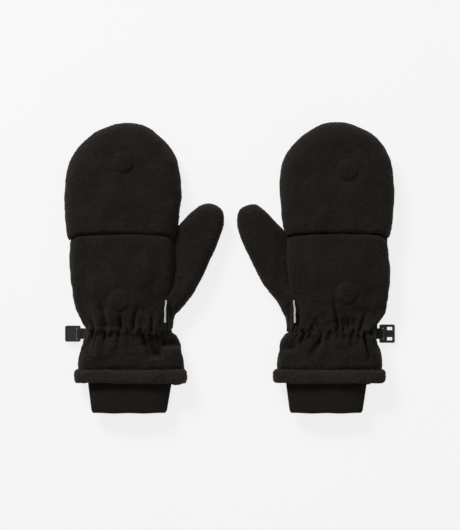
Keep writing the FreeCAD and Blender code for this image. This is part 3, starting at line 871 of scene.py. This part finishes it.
def hood_fleece(side):
    """The fold-back hood: a closed tip, a dorsal edge at the knuckle seam and a palm edge that laps over."""
    line = SEAM_LINE[side]
    obj = pillow(f"{side}_hood_fleece", side, HOOD[side], (0, SEAM_Z, BACK_Z), (12, 18), CELL)
    cut_off(obj, FLAP_Y, -1)

    def gone(c):
        inside_hand = edge_distance(HAND[side], c[:, :2])[0] > 1.5
        from_edge = edge_distance(HOOD[side], c[:, :2])[0]
        flap_edge = line - (line - FLAP_Y) * smooth_step((from_edge - 2.0) / 15.0)
        upper = c[:, 2] > STEP_Z
        return (c[:, 1] < line + 0.1) & (upper | ~inside_hand | (c[:, 1] < flap_edge))

    drop_faces(obj, side, gone)
    ease_edges(obj)
    p, n, back = skin_of(obj, side)
    slack = 0.15 * np.exp(-((p[:, 1] - line) / 16.0) ** 2)
    settled = drape(obj, side, slack, p[:, 1] < line + 1.8, pressure=0.3)
    upper = back | (p[:, 1] > line + 1)
    p += settled - n * np.where(upper, pinch(p[:, 1] - line, n), 0)[:, None]
    disc_bump(p, side, "hood", back & (n[:, 2] > 0.5))
    fall = seam_fall(side, p[:, 0]) * (1 - smooth_step((p[:, 1] - line) / 28))
    p[:, 1] -= np.where(upper, fall, 0)
    set_points(obj, p, side)
    nodes = ["hood_back", "hood_palm", "hood_overlap"]
    finish(obj, side, "fleece", HOOD_THICK, HAND_NAP, nodes, "hood")
    flatten_when_folded(obj)


def flatten_when_folded(obj):
    """Give the piece its own copy of its mesh; it is not made thinner for the folded-back hood."""
    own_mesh(obj)


def thumb_top(side, p):
    """How high the thumb may reach: it dips where it comes out from under the hand's edge."""
    away = -edge_distance(HAND[side], p[:, :2])[0]
    lift = 4.0 + 6.5 * smooth_step((-16 - p[:, 1]) / 16)
    return THUMB_SEAM_Z + lift + 0.42 * np.maximum(away + 1.0, 0)


def thumb_fleece(side):
    """The thumb, lower than the back of the hand and dipping where it comes out from under it."""
    obj = pillow(f"{side}_thumb_fleece", side, THUMB[side], (0, THUMB_SEAM_Z, THUMB_Z), (8, 10), CELL)
    drop_faces(obj, side, lambda c: edge_distance(HAND[side], c[:, :2])[0] > 5.0)
    p, n, back = skin_of(obj, side, THUMB_SEAM_Z)
    p -= n * np.where(back, crease_depth(p[:, :2], THUMB_CREASES), 0)[:, None]
    p[:, 2] = np.where(back, np.minimum(p[:, 2], thumb_top(side, p)), p[:, 2])
    set_points(obj, p, side)
    finish(obj, side, "fleece", FLEECE_THICK, HAND_NAP, ["thumb_front", "thumb_back"])


def fold_strip(side):
    """The narrow strip of fleece at the knuckle seam that the hood turns about."""
    line = SEAM_LINE[side]
    left, right = SEAM_ENDS[side][0] + 0.4, SEAM_ENDS[side][1] - 0.4
    x = (left + right) / 2 - (right - left) / 2 * np.cos(np.linspace(0, math.pi, 90))[:, None]
    y = np.linspace(line - 3.5, line + 4.5, 9) - seam_fall(side, x)
    edge = np.clip(np.minimum(x - left, right - x) / 14.0, 0, 1)
    z = SEAM_Z - 1 + 9.0 * (1 - (1 - edge) ** ROUNDNESS) ** (1 / ROUNDNESS)
    obj = sheet_mesh(f"{side}_fold_strip", side, x, y, z)
    finish(obj, side, "fleece", STRIP_THICK, STRIP_NAP, ["knuckle_fold"], body=None)
    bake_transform(obj)


def hem_roll(side):
    """The thick turned hem, a fuzzy roll round the skirt's mouth that hangs lower at one place."""
    (middle_x, middle_y, middle_z), (half_x, half_y, half_z) = middle_and_half("cuff_hem")
    around = 190
    path, normal = oval(half_x - HEM_ROLL, half_z - HEM_ROLL, around, 3.4)
    turn = np.linspace(0, 2 * math.pi, 26, endpoint=False)
    c, s = np.cos(turn), np.sin(turn)
    out = HEM_ROLL * np.sign(c) * np.abs(c) ** 0.9
    along = (half_y - 0.6) * np.sign(s) * np.abs(s) ** 0.72
    where, wide, low = HEM_TAIL[side]
    way = np.arange(around)[:, None] / around * math.pi
    wave = 0.5 * np.sin(5.1 * way) + 0.35 * np.sin(14 * way + 1)
    tail = low * np.exp(-(((middle_x + path[:, :1] - where) / wide) ** 2)) * (path[:, 1:] < -0.1)
    y = middle_y + 0.4 + along + np.where(along < 0, 0.5, 0.25) * wave - tail
    obj = tube(f"{side}_hem_roll", side, sweep(middle_x, middle_z, path, normal, out, y))
    modify(obj, "SUBSURF", levels=2)
    bake_modifiers(obj)
    nap(obj, HEM_NAP)
    keep_above_floor(obj, side)
    dress(obj, side, "hem_fleece", ["cuff_hem"])


def drawn_in(y):
    """How much thinner the layers inside the wrist are, near the elastic."""
    return 1 - 0.48 * np.exp(-((y - ELASTIC_Y) / 17.0) ** 2)


def rib_knit(side):
    """The knitted cuff: fine raised ribs round a flattened tube that narrows a little to its mouth."""
    (_, y0, z0), (_, y1, z1) = box_of("rib_cuff")
    ribs, per_rib = 104, 6
    count = ribs * per_rib
    middle_z = (z0 + z1) / 2
    stations = np.concatenate([np.linspace(y1, SKIRT_Y, 8)[:-1], np.linspace(SKIRT_Y, y0, 30)])
    left, right = (np.interp(stations, [y0, HEM_Y, y1], edge) for edge in RIB_EDGES[side])
    ripple = 0.26 * np.cos(np.arange(count) / per_rib * 2 * math.pi)
    rows, inner = [], []
    for y, a, b in zip(stations, left, right):
        waver = 0.22 * np.sin(np.arange(count) / count * 34 + y * 0.05)
        end = smooth_step((y - y0) / 2.2)
        out = ripple * (0.35 + 0.65 * end) - 1.1 * (1 - end)
        mouth = 1 - smooth_step((y - y0) / 14)
        half = ((b - a) / 2, (z1 - z0) / 2 * drawn_in(y))
        rows.append(ring(((a + b) / 2, middle_z), half, 2.7, y + mouth * waver, count, out))
    for y, a, b in list(zip(stations, left, right))[::-1][::6]:
        half = ((b - a) / 2 - 1.9, (z1 - z0) / 2 * drawn_in(y) - 1.9)
        inner.append(ring(((a + b) / 2, middle_z), half, 2.7, max(y, y0 + 0.6), count))
    inner.append(inner[-1] * (1, 0, 1) + (0, y1, 0))
    rings = np.array(rows + inner)
    rings[..., 2] -= pocket_depth(rings.reshape(-1, 3), side).reshape(rings.shape[:2])
    obj = tube(f"{side}_rib_cuff_knit", side, rings)
    dress(obj, side, "rib_knit", ["rib_cuff"])


def lining_skin(side, part, outlines, heights, rounds):
    outline = shrink(outlines[side], LINING_GAP)
    return pillow(f"{side}_{part}_lining_skin", side, outline, heights, rounds, LINING_CELL)


def hand_lining(side):
    """The lining of the hand, open at the knuckles and at the wrist, where it is drawn in."""
    obj = lining_skin(side, "hand", HAND, LINING_HEIGHTS, (8, 10))
    cut_off(obj, KNUCKLE_Y - 3, 1)
    cut_off(obj, ELASTIC_Y + 1.5, -1)
    p = points_of(obj, side)
    p[:, 2] = SEAM_Z + (p[:, 2] - SEAM_Z) * drawn_in(p[:, 1])
    set_points(obj, p, side)
    finish(obj, side, "lining", LINING_THICK, LINING_NAP, ["hand_lining"])


def hood_lining(side):
    """The lining of the hood, open at the fold and on the palm side, where the fingers come out."""
    obj = lining_skin(side, "hood", HOOD, LINING_HEIGHTS, (8, 10))
    cut_off(obj, FOLD_Y + 1.5, -1)
    drop_faces(obj, side, lambda c: (c[:, 1] < 63) & (c[:, 2] < SEAM_Z))
    finish(obj, side, "lining", LINING_THICK, LINING_NAP, ["hood_lining"], "hood")
    flatten_when_folded(obj)


def thumb_lining(side):
    """The lining of the thumb, open to the hand and low enough to stay under the thumb's fleece."""
    obj = lining_skin(side, "thumb", THUMB, (4.6, THUMB_SEAM_Z, THUMB_Z - 3.6), (5, 6))
    drop_faces(obj, side, lambda c: edge_distance(HAND[side], c[:, :2])[0] > -1.0)
    p = points_of(obj, side)
    p[:, 2] = np.minimum(p[:, 2], thumb_top(side, p) - 4.4)
    set_points(obj, p, side)
    finish(obj, side, "lining", LINING_THICK, LINING_NAP, ["thumb_lining"])


def elastic_band(side):
    """The elastic inside the wrist, crimped where the cloth is gathered on it."""
    around = 240
    left, right = edges_at(HAND[side], ELASTIC_Y)
    path, normal = oval((right - left) / 2 - 4.6, 5.2, around, 2.6)
    across = np.array([-3.4, -1.2, 1.2, 3.4])
    crimp = 0.35 * np.sin(2 * math.pi * np.arange(around)[:, None] / 6)
    out = np.repeat([0.5, -0.5], 4) + crimp
    y = ELASTIC_Y + np.concatenate([across, across[::-1]])
    obj = tube(f"{side}_elastic_band", side, sweep((left + right) / 2, SEAM_Z, path, normal, out, y))
    dress(obj, side, "elastic", ["wrist_elastic"])


def shrink(outline, inset):
    """The outline moved inwards, without the loops that a tight corner would make."""
    step = normals_beside(outline) * inset
    moved = outline - step
    if edge_distance(outline, moved)[0].mean() < 0:
        moved = outline + step
    return moved[edge_distance(outline, moved)[0] > inset * 0.98]


def stall_knit(side, name):
    """A knitted half-finger tube, flared where it is sewn to its neighbours."""
    middle, (half_x, half_y, half_z) = middle_and_half(f"{name}_stall")
    y0, y1 = middle[1] - half_y, middle[1] + half_y
    stations = np.concatenate([[y0 - 1.5], np.linspace(y0, y1, 22)])
    outer, inner = [], []
    for y in stations:
        flare = math.exp(-max(y - y0 + 1.5, 0) / 2.6)
        swell = 0.35 * math.sin((y - y0) / (y1 - y0) * math.pi)
        half = (half_x - 0.35 + swell * 0.6 + 0.3 * flare, half_z - 0.3 + swell + 2.2 * flare)
        outer.append(ring(middle[::2], half, 2.6, y, 96))
        inner.append(ring(middle[::2], half, 2.6, y, 96, out=-1.6))
    obj = tube(f"{side}_{name}_knit", side, np.array(outer + inner[::-1]))
    nap(obj, STALL_NAP)
    dress(obj, side, "knit", [f"{name}_stall"])


def stall_edges(side):
    """The rolled binding at each stall's cut end."""
    whole = []
    for name in STALLS:
        (middle_x, middle_y, middle_z), (half_x, half_y, half_z) = middle_and_half(f"{name}_stall")
        path, normal = oval(half_x - 0.6, half_z - 0.6, 72, 2.6)
        turn = np.linspace(0, 2 * math.pi, 10, endpoint=False)
        y = middle_y + half_y - 1.9 + 2.1 * np.sin(turn)
        rings = sweep(middle_x, middle_z, path, normal, np.cos(turn), y)
        whole.append(tube(f"{side}_{name}_edge", side, rings))
    dress(join(whole, f"{side}_stall_edges"), side, "binding", ["stall_bindings"])


def join(objects, name):
    """Several mesh objects as one."""
    mesh = bpy.data.meshes.new(name)
    with edited(mesh) as bm:
        for obj in objects:
            bm.from_mesh(obj.data)
    for obj in objects:
        bpy.data.objects.remove(obj)
    return add_object(name, mesh)


def yoke_knit(side):
    """The wall across the knuckles, bulging a little between the stalls."""
    (x0, y0, z0), (x1, _, z1) = box_of("finger_yoke")
    x = np.linspace(x0 + 1, x1 - 1, 90)[:, None]
    squeeze = 1 - 0.5 * (1 - smooth_step(np.minimum(x - x0, x1 - x) / 7))
    z = SEAM_Z + (np.linspace(z0 + 0.6, z1 - 2.2, 16) - SEAM_Z) * squeeze
    obj = sheet_mesh(f"{side}_yoke_knit", side, x, y0 + 1.6 + 0.5 * np.sin(x * 0.55), z)

    def in_stall(c):
        out = np.zeros(len(c), bool)
        for name in STALLS:
            middle, half = middle_and_half(f"{name}_stall")
            u, _, w = ((c - middle) / (half - (2.4, 0, 1.6))).T
            out |= u**4 + w**4 < 1
        return out

    drop_faces(obj, side, in_stall)
    fabric_wall(obj, 1.2, offset=0.0)
    dress(obj, side, "knit", ["finger_yoke"])


def label_tab(side):
    """A blank woven tape folded into a loop and sewn into the thumb-side seam."""
    (x0, y0, z0), (x1, y1, z1) = box_of("woven_label")
    up = 12
    half = (x1 - x0) / 2 - 0.15
    rise = z0 - 2 + (z1 - z0 + 1.4) * np.linspace(0, 1, up)
    turn = np.linspace(math.pi, 0, 7)[1:-1]
    x = np.concatenate([np.full(up, -half), half * np.cos(turn), np.full(up, half)])
    z = np.concatenate([rise, z1 - 0.6 + half * np.sin(turn), rise[::-1]])
    t = np.linspace(0, 1, 25)[:, None]
    bend = 0.5 * np.sin(t * 5.0) + 0.3 * np.sin(t * 11 + 1)
    lean = bend * (z - z0) / (z1 - z0)
    obj = sheet_mesh(f"{side}_label_tab", side, (x0 + x1) / 2 + x + lean, y0 + (y1 - y0) * t, z)
    fabric_wall(obj, 0.4, offset=0.0)
    dress(obj, side, "label", ["woven_label"])


def strap_webbing(side):
    """Webbing that comes out of the side seam, goes round the clip's bar and back."""
    bar_x, bar_z = CLIP_BAR
    turn = np.linspace(math.radians(115), math.radians(-95), 14)
    loop = [(bar_x + 2.1 * math.cos(t), bar_z + 1.95 * math.sin(t)) for t in turn]
    run_out = [(134, 10.5), (136.6, 6.6), (139.4, 4.1), (142.2, 3.7)]
    run_back = [(141.5, 0.9), (136, 2.6)]
    profile = curve_through(run_out + loop + run_back, 3, False)
    middle, _ = middle_and_half("clip_strap")
    ys = middle[1] + STRAP_WIDE * np.linspace(-0.5, 0.5, 13)
    obj = sheet_mesh(f"{side}_strap_webbing", side, profile[:, :1], ys, profile[:, 1:])
    fabric_wall(obj, STRAP_THICK, offset=0.0)
    keep_above_floor(obj, side)
    dress(obj, side, "webbing", ["clip_strap"])


def finish_cad_nodes():
    """Better materials on the CAD nodes that stay: magnets and clips."""
    slots = {s["node"]: s["material_slot"] for s in frame["record"]["subparts"]}
    for name, obj in frame["nodes"].items():
        if not obj.hide_render:
            paint(obj, SLOTS[slots[name]])


# Stage, light and camera

LIGHTS = [("key", (-0.95, 1.55, 1.3), 0.6, 29.0), ("fill", (1.3, -0.4, 1.6), 1.6, 2.6),
          ("top", (0.0, 0.2, 2.2), 2.0, 2.4)]


def studio():
    """A pale floor, the LIGHTS, which are given by name, place, size and power, and the camera."""
    scene = bpy.context.scene
    scene.view_settings.view_transform = "Standard"
    scene.world = bpy.data.worlds.new("soft_room")
    scene.world.use_nodes = True
    set_sockets(scene.world.node_tree.nodes["Background"], {"Color": (1, 1, 1, 1), "Strength": 0.16})

    reach = 3000
    corners = [(reach * x, reach * y, 0) for x, y in ((-1, -1), (1, -1), (1, 1), (-1, 1))]
    floor = new_mesh("floor", corners, [(0, 1, 2, 3)], "right")
    made, tree, shader, spot = material("pale_floor")
    cloudy = noise_node(tree, spot, 3.0)
    ramp(tree, cloudy, [(0.3, (0.16, 0.16, 0.16)), (0.7, (0.17, 0.17, 0.17))], shader.inputs["Base Color"])
    set_sockets(shader, {"Roughness": 0.9, "Emission Color": (1, 1, 1, 1), "Emission Strength": 0.815})
    paint(floor, made)

    for name, place_at, size, power in LIGHTS:
        lamp = add_object(name, assign(bpy.data.lights.new(name, "AREA"), size=size, energy=power))
        lamp.location = place_at
        lamp.rotation_euler = (-Vector(place_at)).to_track_quat("-Z", "Y").to_euler()

    lens = assign(bpy.data.cameras.new("camera"), lens=100.0, sensor_width=36.0)
    scene.camera = add_object("camera", lens)
    scene.camera.location = (0.0, 0.0025, 1.425)


def stall_knits(side):
    for name in STALLS:
        stall_knit(side, name)


PIECES = (hand_fleece, hood_fleece, thumb_fleece, fold_strip, hem_roll, rib_knit, elastic_band, hand_lining,
          hood_lining, thumb_lining, stall_knits, stall_edges, yoke_knit, label_tab, strap_webbing)
for mitten_side in SIDES:
    for make_piece in PIECES:
        make_piece(mitten_side)
finish_cad_nodes()
studio()
